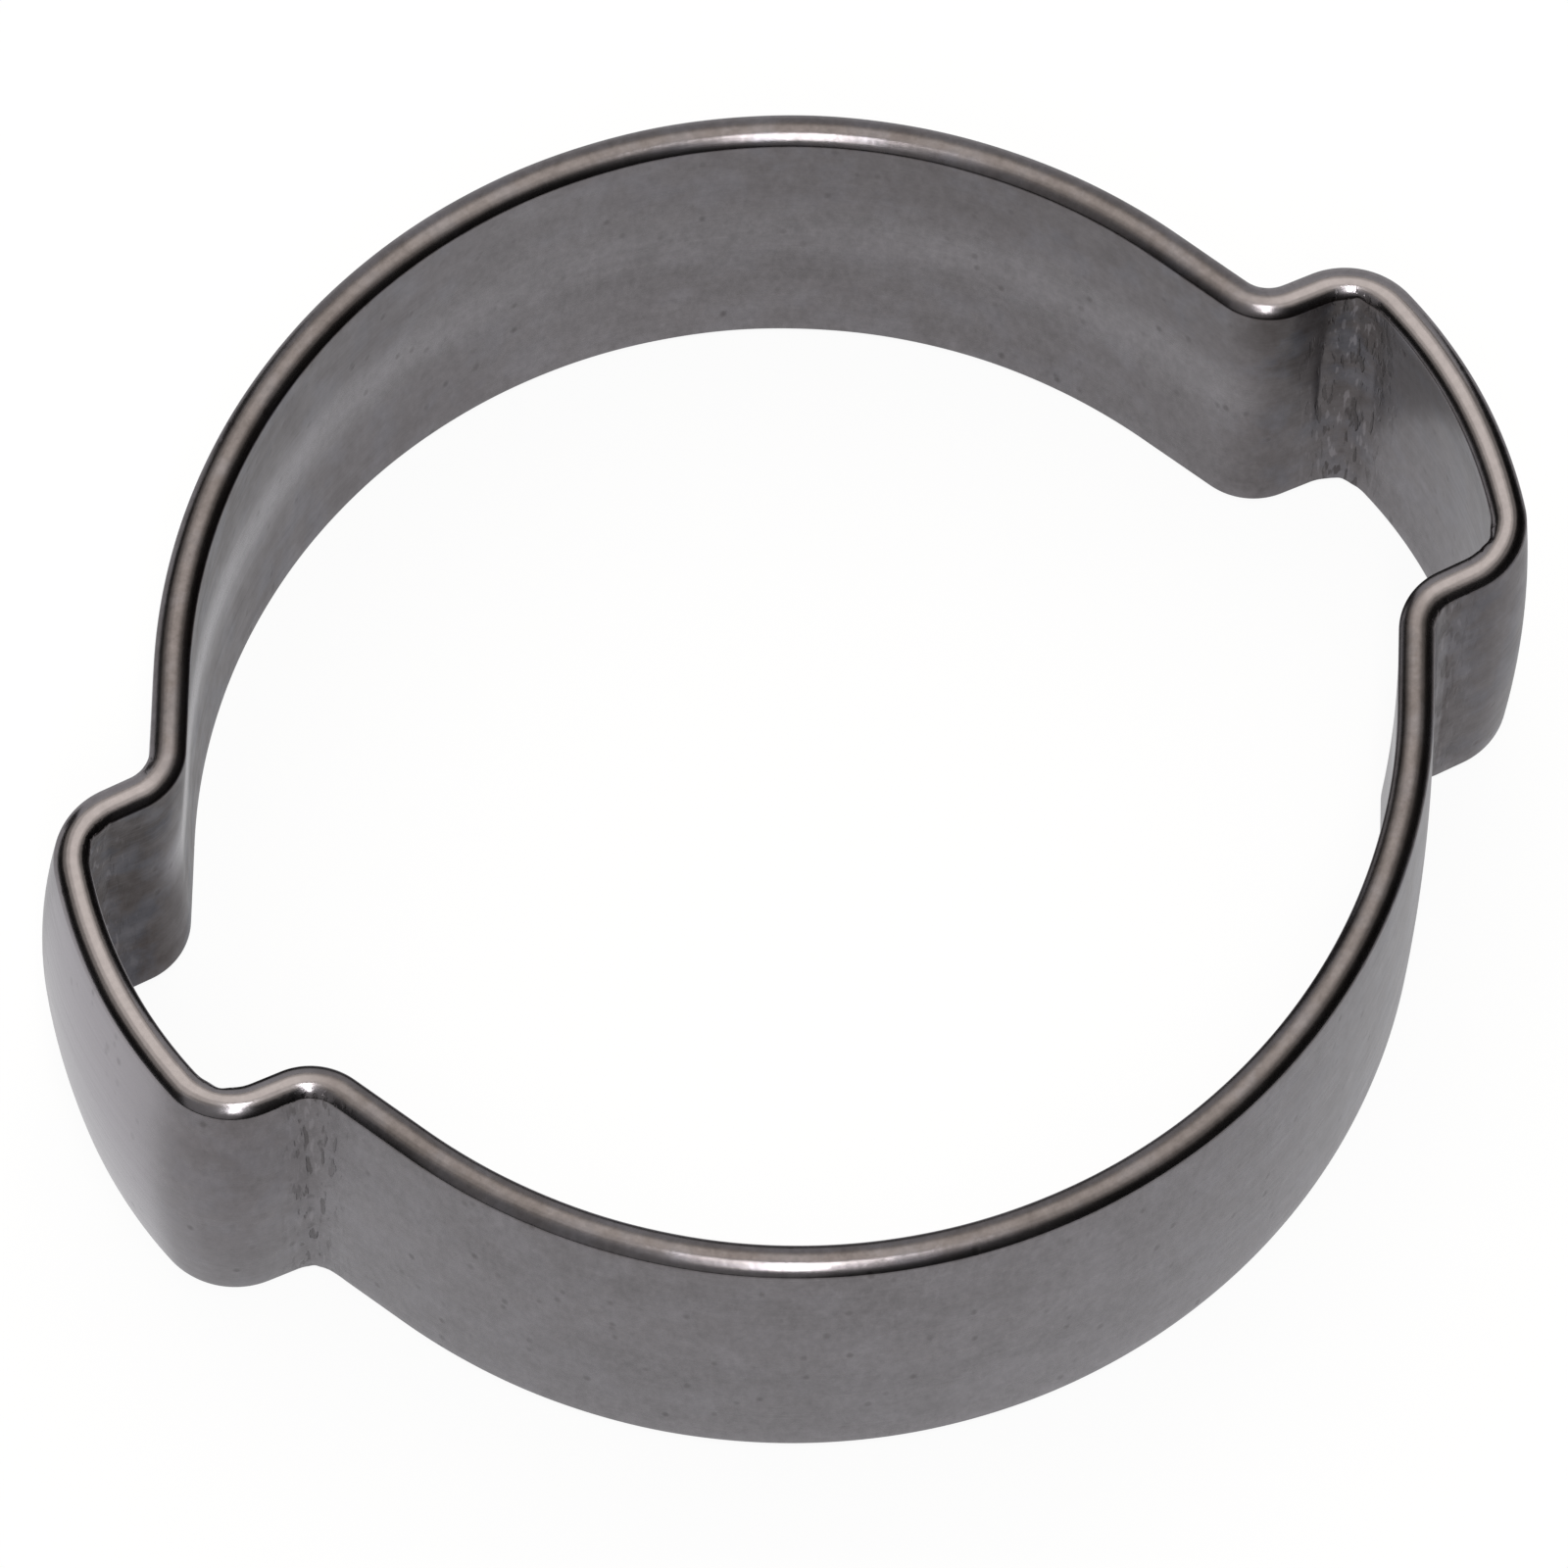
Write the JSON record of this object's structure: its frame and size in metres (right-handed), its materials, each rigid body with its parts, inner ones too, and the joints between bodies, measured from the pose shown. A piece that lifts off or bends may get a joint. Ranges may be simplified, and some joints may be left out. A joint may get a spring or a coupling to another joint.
{
  "type": "two-ear hose clamp",
  "caption": "One-piece closed steel band with a pinch ear on each side, slipped over a hose and squeezed tight with pincers.",
  "frame": {"origin": "on the bore's axis, at the level of the rim that the clamp lies on", "axes": "+Z along the bore, +X through the crest of one ear, the other ear at -X"},
  "size_m": [0.0292, 0.0244, 0.0084],
  "materials": {
    "band_steel": "dull grey steel with fine marks along the band, small dark pits and tumbled, brighter rims"
  },
  "bodies": {
    "root": {"clamp_band": "band_steel"}
  },
  "joints": []
}
